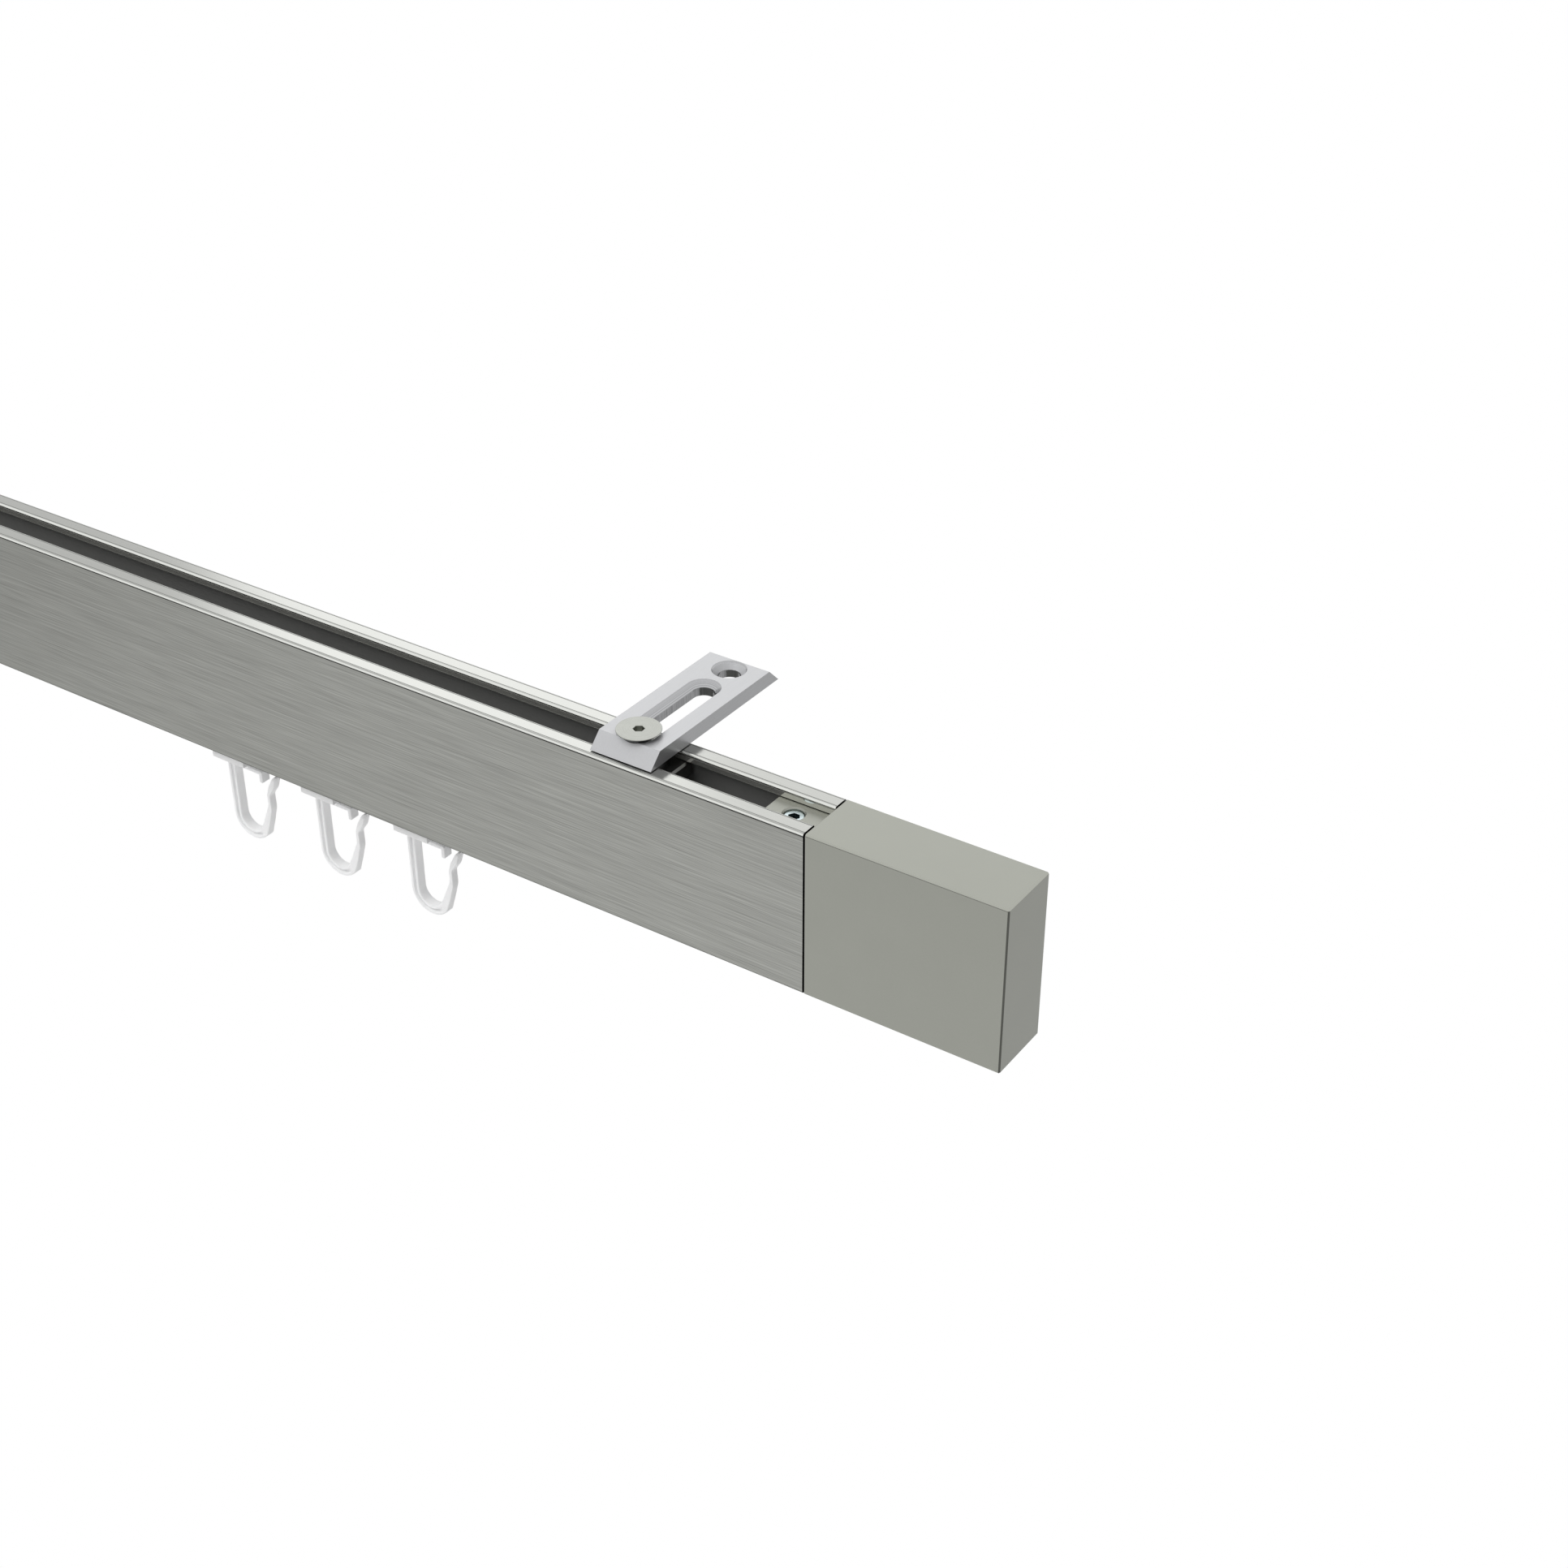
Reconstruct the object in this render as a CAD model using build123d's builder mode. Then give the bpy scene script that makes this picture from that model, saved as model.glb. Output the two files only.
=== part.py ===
"""Ceiling curtain rod, 14 x 35 mm, with its gliders running inside the profile.

An extruded profile has a T-slot along its top and a glider track along its
underside. A solid end cap holds on at each end by a tongue that a grub screw
wedges under the flanges of the T-slot. Two ceiling brackets, each a slotted
plate on a countersunk screw and a slide nut, clamp in the same slot. Runners
hang in the track, and a pleat hook with a snap arm hangs in the eye of each.

Millimetres. X runs along the rod, Y points away from the room, Z is up. The
origin lies midway between the two ceiling screw holes, in the plane of the
plates' undersides, where the heads of the ceiling screws bear.
"""

import os

from build123d import *

os.makedirs("parts", exist_ok=True)

# Driving dimensions of the profile
rod_length = 600.0
rod_width = 14.0
rod_height = 35.0
side_wall = 1.6
flange = 1.8
web = 1.4
slot_width = 6.7
slot_channel_depth = 6.7
track_width = 6.0
track_channel_height = 8.2
outer_radius = 0.6
lip_radius = 0.6
inner_radius = 0.5

# End caps and the grub screws that hold them
cap_length = 40.9
cap_gap = 0.4
cap_edge = 0.3
tongue_length = 12.0
tongue_thickness = 4.0
tongue_corner = 0.8
grub_radius = 1.95
grub_inset = 7.0
grub_sink = 0.55
grub_bevel = 0.2
grub_mouth = 0.3
hex_across = 2.0
grub_hex_depth = 2.2

# Ceiling brackets
bracket_inset = 41.0
plate_width = 14.0
plate_front = 5.9
plate_thickness = 3.0
plate_gap = 0.2
hole_reach = 28.8
hole_margin = 6.5
hole_to_slot = 8.55
bore_radius = 2.25
sink_radius = 3.5
screw_radius = 2.0
screw_length = 10.0
head_radius = 4.35
head_rim = 0.15
screw_hex_depth = 1.6
thread_relief = 0.4
nut_length = 17.0
nut_thickness = 3.5
nut_edge = 0.4

# Runners
glider_pitch = 25.68
gliders_per_side = 3
glider_inset = 96.17
runner_length = 12.0
head_thickness = 2.2
head_corner = 3.0
head_edge = 0.6
neck_length = 6.0
collar_length = 9.0
collar_width = 11.6
collar_thickness = 2.15
collar_edge = 0.4
collar_drop = 0.3
eye_drop = 3.5
eye_hole = 1.0
eye_outer = 1.85
eye_thickness = 1.2

# Pleat hooks, each measured from the middle of its runner and the rod's underside
hook_depth = 2.3
hook_web = 0.8
groove_inset = 0.75
groove_width = 0.75
groove_turn = 150.0
loop_wire = 1.2
loop_depth = 1.0
loop_inside = 1.3
loop_turn = 130.0
pivot_drop = 3.55
bar_top = 5.5
bar_step = 6.3
bar_bottom = 7.0
ledge_thickness = 1.0
tooth_inside = 3.6
tooth_width = 0.9
tooth_bottom = 8.45
tooth_corner = 0.25
leg_outside = 5.7
leg_width = 2.1
bend_outer = 5.2
bend_turn = 146.0
bend_drop = 18.9
arm_depth = 1.8
arm_inside = 5.0
arm_bend = 1.2

# Clearances
side_clearance = 0.3
slide_clearance = 0.1
seat_clearance = 0.05
neck_clearance = 0.4

# Places that follow from the sizes above
rod_y = -hole_reach
rod_top = -plate_gap
rod_under = rod_top - rod_height
inner_half = rod_width / 2 - side_wall
slot_floor = rod_top - flange - slot_channel_depth
hollow_top = slot_floor - web
hollow_bottom = rod_under + flange + track_channel_height + web
under_flange = rod_top - flange - slide_clearance
fit_width = 2 * (inner_half - side_clearance)
cap_inside = rod_length / 2 + cap_gap
bracket_x = rod_length / 2 - bracket_inset
hex_radius = hex_across / 3**0.5
grub_top = under_flange - grub_sink
grub_length = grub_top - slot_floor - seat_clearance
sink_depth = sink_radius - bore_radius
slot_reach = hole_reach - hole_to_slot
plate_back = hole_reach + hole_margin
plate_bevel = plate_thickness
cone_top = plate_thickness + seat_clearance + head_radius - sink_radius
head_top = cone_top + head_rim
screw_foot = head_top - screw_length
head_foot = rod_under + flange + slide_clearance
collar_face = rod_under - collar_drop


def across(x, z):
    """The plane across the rod at x, with its origin on the rod's middle line at height z."""
    return Plane(origin=(x, rod_y, z), x_dir=(0, 1, 0), z_dir=(1, 0, 0))


def along(x, z):
    """The upright plane along the rod's middle, with its origin at x and height z."""
    return Plane(origin=(x, rod_y, z), x_dir=(1, 0, 0), z_dir=(0, -1, 0))


def level(x, z):
    """The horizontal plane at height z, with its origin on the rod's middle line at x."""
    return Plane(origin=(x, rod_y, z))


# Profile
with BuildPart() as rod_profile:
    with BuildSketch(across(-rod_length / 2, rod_top)) as section:
        Rectangle(rod_width, rod_height, align=(Align.CENTER, Align.MAX))
        fillet(section.vertices(), outer_radius)
        with Locations((0, -flange)):
            Rectangle(2 * inner_half, slot_channel_depth, align=(Align.CENTER, Align.MAX), mode=Mode.SUBTRACT)
        with Locations((0, flange - rod_height)):
            Rectangle(2 * inner_half, track_channel_height, align=(Align.CENTER, Align.MIN), mode=Mode.SUBTRACT)
        with Locations((0, (hollow_top + hollow_bottom) / 2 - rod_top)):
            RectangleRounded(2 * inner_half, hollow_top - hollow_bottom, inner_radius, mode=Mode.SUBTRACT)
        Rectangle(slot_width, 2 * flange, mode=Mode.SUBTRACT)
        with Locations((0, -rod_height)):
            Rectangle(track_width, 2 * flange, mode=Mode.SUBTRACT)
        lips = section.vertices().filter_by_position(Axis.X, -slot_width / 2, slot_width / 2)
        fillet(lips.group_by(Axis.Y)[-1] + lips.group_by(Axis.Y)[0], lip_radius)
    extrude(amount=rod_length)
rod_profile.part.label = "rod_profile"
export_step(rod_profile.part, "parts/rod_profile.step")

for side, end in (("left", -1), ("right", 1)):
    # End cap: a solid block, with its tongue under the flanges of the T-slot
    tongue_middle = end * (cap_inside - tongue_length / 2)
    grub_x = end * (cap_inside - grub_inset)
    with BuildPart() as end_cap:
        with Locations((end * (cap_inside + cap_length / 2), rod_y, rod_top)):
            Box(cap_length, rod_width, rod_height, align=(Align.CENTER, Align.CENTER, Align.MAX))
        inner_edges = end_cap.edges().group_by(Axis.X)[0 if end > 0 else -1]
        chamfer(end_cap.edges() - inner_edges, cap_edge)
        with BuildSketch(level(tongue_middle, under_flange)) as tongue:
            Rectangle(tongue_length + 2 * cap_edge, fit_width)
            free_end = tongue.vertices().group_by(Axis.X)[0 if end > 0 else -1]
            chamfer(free_end, tongue_corner)
        extrude(amount=-tongue_thickness)
        with Locations((grub_x, rod_y, under_flange)):
            CounterSinkHole(grub_radius + seat_clearance, grub_radius + grub_mouth, depth=tongue_thickness)
    end_cap.part.label = f"end_cap_{side}"
    export_step(end_cap.part, f"parts/end_cap_{side}.step")

    # Grub screw: its foot bears on the floor of the T-slot
    with BuildPart() as grub_screw:
        with BuildSketch(level(grub_x, grub_top)):
            Circle(grub_radius)
        extrude(amount=-grub_length)
        chamfer(grub_screw.edges().filter_by(GeomType.CIRCLE), grub_bevel)
        with BuildSketch(level(grub_x, grub_top)):
            RegularPolygon(hex_radius, 6)
        extrude(amount=-grub_hex_depth, mode=Mode.SUBTRACT)
    grub_screw.part.label = f"grub_screw_{side}"
    export_step(grub_screw.part, f"parts/grub_screw_{side}.step")

    # Bracket plate: bevelled ends, a countersunk hole and a countersunk slot
    clamp_x = end * bracket_x
    with BuildPart() as bracket_plate:
        with BuildSketch(across(clamp_x - plate_width / 2, 0)):
            with BuildLine():
                Polyline(
                    (-plate_front, 0),
                    (plate_back, 0),
                    (plate_back - plate_bevel, plate_thickness),
                    (plate_bevel - plate_front, plate_thickness),
                    close=True,
                )
            make_face()
        extrude(amount=plate_width)
        with Locations((clamp_x, 0, plate_thickness)):
            CounterSinkHole(bore_radius, sink_radius)
        with BuildSketch(level(clamp_x, 0)):
            with Locations((0, slot_reach / 2)):
                SlotCenterToCenter(slot_reach, 2 * bore_radius, rotation=90)
        extrude(amount=plate_thickness, mode=Mode.SUBTRACT)
        with BuildSketch(level(clamp_x, plate_thickness)):
            with Locations((0, slot_reach / 2)):
                SlotCenterToCenter(slot_reach, 2 * sink_radius, rotation=90)
        extrude(amount=-sink_depth, taper=45, mode=Mode.SUBTRACT)
    bracket_plate.part.label = f"bracket_plate_{side}"
    export_step(bracket_plate.part, f"parts/bracket_plate_{side}.step")

    # Bracket screw: its cone bears on the rim of the plate's countersink
    with BuildPart() as bracket_screw:
        with BuildSketch(along(clamp_x, 0)):
            with BuildLine():
                Polyline(
                    (0, head_top),
                    (head_radius, head_top),
                    (head_radius, cone_top),
                    (screw_radius, cone_top - head_radius + screw_radius),
                    (screw_radius, screw_foot + thread_relief),
                    (screw_radius - thread_relief, screw_foot),
                    (0, screw_foot),
                    close=True,
                )
            make_face()
        revolve(axis=Axis((clamp_x, rod_y, 0), (0, 0, 1)))
        with BuildSketch(level(clamp_x, head_top)):
            RegularPolygon(hex_radius, 6, rotation=35)
        extrude(amount=-screw_hex_depth, mode=Mode.SUBTRACT)
    bracket_screw.part.label = f"bracket_screw_{side}"
    export_step(bracket_screw.part, f"parts/bracket_screw_{side}.step")

    # Slide nut: runs under the flanges of the T-slot
    with BuildPart() as slide_nut:
        with Locations((clamp_x, rod_y, under_flange)):
            Box(nut_length, fit_width, nut_thickness, align=(Align.CENTER, Align.CENTER, Align.MAX))
        chamfer(slide_nut.edges(), nut_edge)
        with Locations((clamp_x, rod_y, under_flange)):
            Hole(screw_radius + seat_clearance)
    slide_nut.part.label = f"slide_nut_{side}"
    export_step(slide_nut.part, f"parts/slide_nut_{side}.step")

right_gliders = [rod_length / 2 - glider_inset - glider_pitch * i for i in range(gliders_per_side)]
left_gliders = [-x for x in reversed(right_gliders)]

for number, glider_x in enumerate(right_gliders + left_gliders, start=1):
    # Runner: a broad head on the track's flanges, a neck through the slot, a broad collar and an eye
    with BuildPart() as runner:
        with BuildSketch(level(glider_x, head_foot)) as head:
            Rectangle(runner_length, fit_width)
            chamfer(head.vertices(), head_corner)
        extrude(amount=head_thickness)
        chamfer(runner.faces().sort_by(Axis.Z)[-1].edges(), head_edge)
        with BuildSketch(level(glider_x, collar_face)):
            Rectangle(neck_length, track_width - 2 * neck_clearance)
        extrude(amount=head_foot - collar_face)
        with BuildSketch(level(glider_x, collar_face)):
            Rectangle(collar_length, collar_width)
        extrude(amount=-collar_thickness)
        chamfer(runner.faces().sort_by(Axis.Z)[0].edges(), collar_edge)
        with BuildSketch(across(glider_x, rod_under - eye_drop)):
            Circle(eye_outer)
            Rectangle(2 * eye_outer, eye_drop - collar_drop - collar_edge, align=(Align.CENTER, Align.MIN))
            Circle(eye_hole, mode=Mode.SUBTRACT)
        extrude(amount=eye_thickness / 2, both=True)
    runner.part.label = f"runner_{number}"
    export_step(runner.part, f"parts/runner_{number}.step")

    # Pleat hook: a head with its tooth, a grooved leg and bend, a thinner snap arm and a loop
    leg_inside = leg_width - leg_outside
    bend_x = bend_outer - leg_outside
    bend_inner = bend_outer - leg_width
    tooth_outside = tooth_inside + tooth_width
    groove_x = groove_inset + groove_width / 2 - leg_outside
    loop_radius = loop_inside + loop_wire / 2
    with BuildPart() as pleat_hook:
        with BuildSketch(along(glider_x, rod_under)) as hook:
            with BuildLine():
                back = Line((-leg_outside, -bar_top), (-leg_outside, -bend_drop))
                outside = CenterArc((bend_x, -bend_drop), bend_outer, 180, bend_turn)
                inside = CenterArc((bend_x, -bend_drop), bend_inner, 180, bend_turn)
                Line(outside @ 1, inside @ 1)
                Polyline(inside @ 0, (leg_inside, -bar_step), (leg_inside, -bar_top), back @ 0)
            make_face()
            with BuildLine():
                Polyline(
                    (-leg_outside, -bar_top),
                    (tooth_outside, -bar_top),
                    (tooth_outside, -tooth_bottom),
                    (tooth_inside, -tooth_bottom),
                    (tooth_inside, -bar_step),
                    (-leg_outside, -bar_step),
                    close=True,
                )
            make_face()
            chamfer(hook.vertices().filter_by_position(Axis.Y, -tooth_bottom, -tooth_bottom), tooth_corner)
        extrude(amount=hook_depth / 2, both=True)
        for face in (-1, 1):
            with BuildSketch(along(glider_x, rod_under).offset(face * hook_web / 2)):
                with BuildLine():
                    Line((groove_x, -bar_step), (groove_x, -bend_drop))
                    CenterArc((bend_x, -bend_drop), bend_x - groove_x, 180, groove_turn)
                trace(line_width=groove_width)
            extrude(amount=face * hook_depth, mode=Mode.SUBTRACT)
        with BuildSketch(along(glider_x, rod_under)):
            with Locations(((leg_inside + tooth_inside) / 2, -bar_step)):
                Rectangle(tooth_inside - leg_inside, bar_bottom - bar_step, align=(Align.CENTER, Align.MAX))
        extrude(amount=ledge_thickness / 2, both=True)
        with BuildSketch(along(glider_x, rod_under)):
            with BuildLine():
                inner_edge = FilletPolyline(
                    inside @ 1,
                    (arm_inside, -bend_drop + 5.0),
                    (arm_inside + 0.05, -bar_bottom - 4.0),
                    (arm_inside + 0.7, -bar_bottom - 2.0),
                    (arm_inside + 2.6, -bar_top - 0.3),
                    radius=arm_bend,
                )
                outer_edge = FilletPolyline(
                    outside @ 1,
                    (arm_inside + 0.85, -bend_drop + 4.0),
                    (arm_inside + 0.75, -bar_bottom - 4.1),
                    (arm_inside + 2.3, -bar_bottom - 2.0),
                    (arm_inside + 3.3, -bar_top - 0.5),
                    radius=arm_bend,
                )
                Line(inner_edge @ 1, outer_edge @ 1)
                Polyline(inner_edge @ 0, outside @ 0.85, outer_edge @ 0)
            make_face()
        extrude(amount=arm_depth / 2, both=True)
        with BuildSketch(along(glider_x, rod_under - pivot_drop - loop_radius)):
            with BuildLine():
                Line((loop_radius, pivot_drop + loop_radius - bar_step), (loop_radius, 0))
                CenterArc((0, 0), loop_radius, 0, loop_turn)
            trace(line_width=loop_wire)
        extrude(amount=loop_depth / 2, both=True)
    pleat_hook.part.label = f"pleat_hook_{number}"
    export_step(pleat_hook.part, f"parts/pleat_hook_{number}.step")
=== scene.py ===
import bmesh
import bpy
import numpy as np
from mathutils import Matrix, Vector
from mathutils.geometry import tessellate_polygon


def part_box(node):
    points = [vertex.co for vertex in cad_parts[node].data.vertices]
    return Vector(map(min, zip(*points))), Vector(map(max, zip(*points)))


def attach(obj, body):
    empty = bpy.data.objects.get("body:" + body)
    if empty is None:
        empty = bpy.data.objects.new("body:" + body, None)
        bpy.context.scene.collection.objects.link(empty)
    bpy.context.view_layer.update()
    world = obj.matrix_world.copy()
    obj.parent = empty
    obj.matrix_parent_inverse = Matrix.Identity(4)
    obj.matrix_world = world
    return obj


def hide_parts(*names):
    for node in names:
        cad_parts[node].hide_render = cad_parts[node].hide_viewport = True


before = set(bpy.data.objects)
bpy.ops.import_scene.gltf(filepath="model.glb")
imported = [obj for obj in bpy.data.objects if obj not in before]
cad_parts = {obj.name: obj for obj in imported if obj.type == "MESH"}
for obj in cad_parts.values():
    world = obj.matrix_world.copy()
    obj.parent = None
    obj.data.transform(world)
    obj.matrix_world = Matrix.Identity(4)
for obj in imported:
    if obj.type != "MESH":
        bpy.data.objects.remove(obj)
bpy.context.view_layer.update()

bl_info = {
    "name": "Curtain Rod",
    "version": (1, 0, 0),
    "blender": (4, 5, 0),
    "location": "3D View > Sidebar > Curtain Rod",
    "description": "Dresses the packed curtain rod: brushed profile, satin caps, screws and moulded hooks",
    "category": "Object",
}

MM = 0.001
SIDES = ("left", "right")
GLIDERS = range(1, 7)

# The rod in its frame, in millimetres: middle of its width, top face, underside and half its length
ROD_Y = -28.8
ROD_TOP = -0.2
ROD_UNDER = -35.2
HALF_LENGTH = 300.0

# The profile's section in millimetres, across from its middle and down from its top face
HALF_WIDTH = 7.0
HALF_CHANNEL = 5.4
HALF_SLOT = 3.35
HALF_TRACK = 3.0
HEIGHT = 35.0
LIP = 1.8
EDGE = 0.48
GROOVES = (6.32, 3.88)
GROOVE_WIDTH = 0.16
GROOVE_DEPTH = 0.06

# Down from the profile's top face in millimetres: the foot of the plain flanges' finish, and the band of
# painted shade over the dent under each round
CROWN = -0.69
DENT_SHADE = (-0.73, -0.45)

# The end caps in millimetres: from the rod's middle to their inner face and their end, and their chamfer
CAP_START = 300.4
CAP_END = 341.3
CAP_EDGE = 0.3

# The ceiling plates in millimetres: from the rod's middle to theirs, half their width, and their thickness,
# then the two centres of their slot, and the height where a bore ends and its cone starts
PLATE_X = 259.0
HALF_PLATE = 7.0
PLATE_THICKNESS = 3.0
SLOT_NEAR = -28.8
SLOT_FAR = -8.55
CONE_START = 1.75

# The hooks in millimetres, from a runner's middle and the rod's underside: half their depth, the outside
# and the inside of the leg, and the centres of the bend and of the loop
HALF_HOOK = 1.15
LEG_OUTSIDE = -5.7
LEG_INSIDE = -3.6
BEND = (-0.5, -18.9)
LOOP = (0.0, -5.45)

# The camera: its place in metres, and how far it looks down and round, in degrees
CAMERA_AT = (0.4918, -0.3250, 0.2298)
CAMERA_DOWN = 32.3329
CAMERA_ROUND = 34.1012


# Shapes


def unit(vectors):
    """Each row divided by its own length."""
    return vectors / np.linalg.norm(vectors, axis=-1, keepdims=True)


def rounded_outline(corners, radii, steps=4, support=0.05):
    """A closed outline of points with an arc at each corner.

    The arc starts radius * tan(turn / 2) before the corner, its centre lies one radius to the inner side
    of the edge there, and the start is turned about that centre in equal steps. One more point lies a
    little beyond each end of the arc, so that the flats keep their own shading.
    """
    points = np.asarray(corners, float)
    radii = np.broadcast_to(np.asarray(radii, float), len(points))[:, None]
    before = unit(points - np.roll(points, 1, 0))
    after = unit(np.roll(points, -1, 0) - points)
    cross = before[:, 0] * after[:, 1] - before[:, 1] * after[:, 0]
    turn = np.arctan2(cross, (before * after).sum(1))[:, None]
    start = points - before * radii * np.tan(np.abs(turn) / 2)
    end = points + after * radii * np.tan(np.abs(turn) / 2)
    centre = start + np.sign(turn) * radii * before[:, ::-1] * (-1, 1)
    swing = turn * np.linspace(0, 1, steps + 1)
    spoke = start - centre
    square = spoke[:, ::-1] * (-1, 1)
    cosine, sine = np.cos(swing)[..., None], np.sin(swing)[..., None]
    arc = centre[:, None] + (spoke[:, None] * cosine + square[:, None] * sine)
    ahead, behind = (start - before * support)[:, None], (end + after * support)[:, None]
    return np.concatenate([ahead, arc, behind], 1).reshape(-1, 2)


def ease(values, start, end):
    """Zero before the start, one after the end, and t * t * (3 - 2 * t) between them."""
    t = np.clip((values - start) / (end - start), 0, 1)
    return t * t * (3 - 2 * t)


def resampled(points, count):
    """The polyline's points at equal steps of its length, eased by a short moving average."""
    points = np.asarray(points, float)
    length = np.concatenate([[0], np.cumsum(np.linalg.norm(np.diff(points, axis=0), axis=1))])
    at = np.linspace(0, length[-1], count)
    line = np.stack([np.interp(at, length, points[:, i]) for i in range(points.shape[1])], 1)
    padded = np.concatenate([line[:1], line, line[-1:]])
    eased = (padded[:-2] + 2 * padded[1:-1] + padded[2:]) / 4
    eased[[0, -1]] = line[[0, -1]]
    return eased


def tube_faces(rows, columns):
    """Quads between each row of a closed grid and the next, and one face over each end."""
    index = np.arange(rows * columns).reshape(rows, columns)
    near, far = index[:-1], index[1:]
    quads = np.stack([near, np.roll(near, -1, 1), np.roll(far, -1, 1), far], -1).reshape(-1, 4)
    return quads.tolist() + [index[0, ::-1].tolist(), index[-1].tolist()]


def shell(name, points, faces):
    """A mesh in metres from points in millimetres, its doubles merged and its faces turned outwards."""
    mesh = bpy.data.meshes.new(name)
    mesh.from_pydata((np.asarray(points).reshape(-1, 3) * MM).tolist(), [], faces)
    work = bmesh.new()
    work.from_mesh(mesh)
    bmesh.ops.remove_doubles(work, verts=work.verts, dist=1e-7)
    bmesh.ops.recalc_face_normals(work, faces=work.faces)
    work.to_mesh(mesh)
    work.free()
    return mesh


def tube(name, grid):
    """A closed tube from a grid of rows and columns of points."""
    return shell(name, grid, tube_faces(*grid.shape[:2]))


def pierced(name, stations, outer, hollow):
    """The profile: its outside and its hollow carried along x, with a lid between the two at both ends."""
    points, faces, start = [], [], 0
    rows = len(stations)
    for loop in (outer, hollow):
        run, across, height = stations[:, None], loop[:, 0] + ROD_Y, loop[:, 1] + ROD_TOP
        points.append(np.stack(np.broadcast_arrays(run, across, height), -1).reshape(-1, 3))
        faces += (np.array(tube_faces(rows, len(loop))[:-2]) + start).tolist()
        start += rows * len(loop)
    lid = np.array(tessellate_polygon([[(0, *point) for point in loop.tolist()] for loop in (outer, hollow)]))
    counts = [len(outer), len(hollow)]
    near = np.concatenate([np.arange(len(outer)), np.arange(len(hollow)) + rows * len(outer)])
    far = near + np.repeat(counts, counts) * (rows - 1)
    faces += near[lid].tolist() + far[lid].tolist()
    return shell(name, np.concatenate(points), faces)


def block(name, section, start, end, edge, turn):
    """A section carried along a straight run, with both its ends rounded.

    Over the last stretch the section draws in by edge * (1 - cos a) while the run goes on by
    edge * sin a, with a from 0 to 90 degrees. The turn function places (run, first, second) in space.
    """
    a = np.linspace(0, np.pi / 2, 5)
    rise = edge * (1 - np.sin(a))
    inset = edge * (1 - np.cos(a))
    runs = np.concatenate([start + rise[::-1], end - rise])
    insets = np.concatenate([inset[::-1], inset])
    middle = (section.max(0) + section.min(0)) / 2
    half = (section.max(0) - section.min(0)) / 2
    rows = middle + (section - middle) * (1 - insets[:, None, None] / half)
    runs = np.broadcast_to(runs[:, None], rows.shape[:2])
    return tube(name, turn(runs, rows[..., 0], rows[..., 1]))


def hexagon(angle, corner, apothem):
    """Radius of a hexagon at an angle: apothem / cos(angle from the middle of the nearest flat)."""
    sector = np.pi / 3
    return apothem / np.cos((angle - corner) % sector - sector / 2)


def thread(angle, height, low, high, pitch, core, crest):
    """Radius of a screw thread: it rises and falls once per pitch, and shifts by one pitch per turn.

    Its crest and its root are flat, and it fades in and out over one pitch at its two ends.
    """
    phase = (height / pitch - angle / (2 * np.pi)) % 1
    tooth = np.clip(2.4 * (1 - np.abs(2 * phase - 1)) - 0.5, 0, 1)
    fade = np.clip((height - low) / pitch, 0, 1) * np.clip((high - height) / pitch, 0, 1)
    return core + (crest - core) * tooth * fade


def united(name, meshes):
    """One closed mesh from several closed ones that overlap."""
    parts = []
    for mesh in meshes:
        part = bpy.data.objects.new(mesh.name, mesh)
        bpy.context.scene.collection.objects.link(part)
        parts.append(part)
    for part in parts[1:]:
        join = parts[0].modifiers.new("Join", "BOOLEAN")
        join.operation, join.solver, join.object = "UNION", "EXACT", part
    joined = parts[0].evaluated_get(bpy.context.evaluated_depsgraph_get())
    whole = bpy.data.meshes.new_from_object(joined)
    whole.name = name
    for part in parts:
        bpy.data.objects.remove(part)
    return whole


def place(name, mesh, material, body, node, angle=0.6):
    """Links a finished mesh as a piece that rides on a body and stands for a CAD node."""
    mesh.materials.clear()
    mesh.materials.append(material)
    mesh.shade_smooth()
    mesh.set_sharp_from_angle(angle=angle)
    piece = bpy.data.objects.new(name, mesh)
    bpy.context.scene.collection.objects.link(piece)
    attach(piece, body)
    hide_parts(node)


def dress(node, material):
    """Gives a CAD node its finish."""
    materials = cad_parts[node].data.materials
    materials.clear()
    materials.append(material)


# Finishes


class Wire:
    """An output of a node. Sums and products of wires and numbers add Math nodes."""

    def __init__(self, look, socket):
        self.look = look
        self.socket = socket

    def maths(self, operation, *values):
        return self.look.node("ShaderNodeMath", {"operation": operation}, dict(enumerate(values)))

    def most(self, other):
        return self.maths("MAXIMUM", self, other)

    def root(self):
        return self.maths("SQRT", self)

    def __add__(self, other):
        return self.maths("ADD", self, other)

    def __radd__(self, other):
        return self.maths("ADD", other, self)

    def __sub__(self, other):
        return self.maths("SUBTRACT", self, other)

    def __rsub__(self, other):
        return self.maths("SUBTRACT", other, self)

    def __mul__(self, other):
        return self.maths("MULTIPLY", self, other)

    def __rmul__(self, other):
        return self.maths("MULTIPLY", other, self)

    def __gt__(self, other):
        return self.maths("GREATER_THAN", self, other)

    def __lt__(self, other):
        return self.maths("LESS_THAN", self, other)

    def __abs__(self):
        return self.maths("ABSOLUTE", self)


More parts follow.
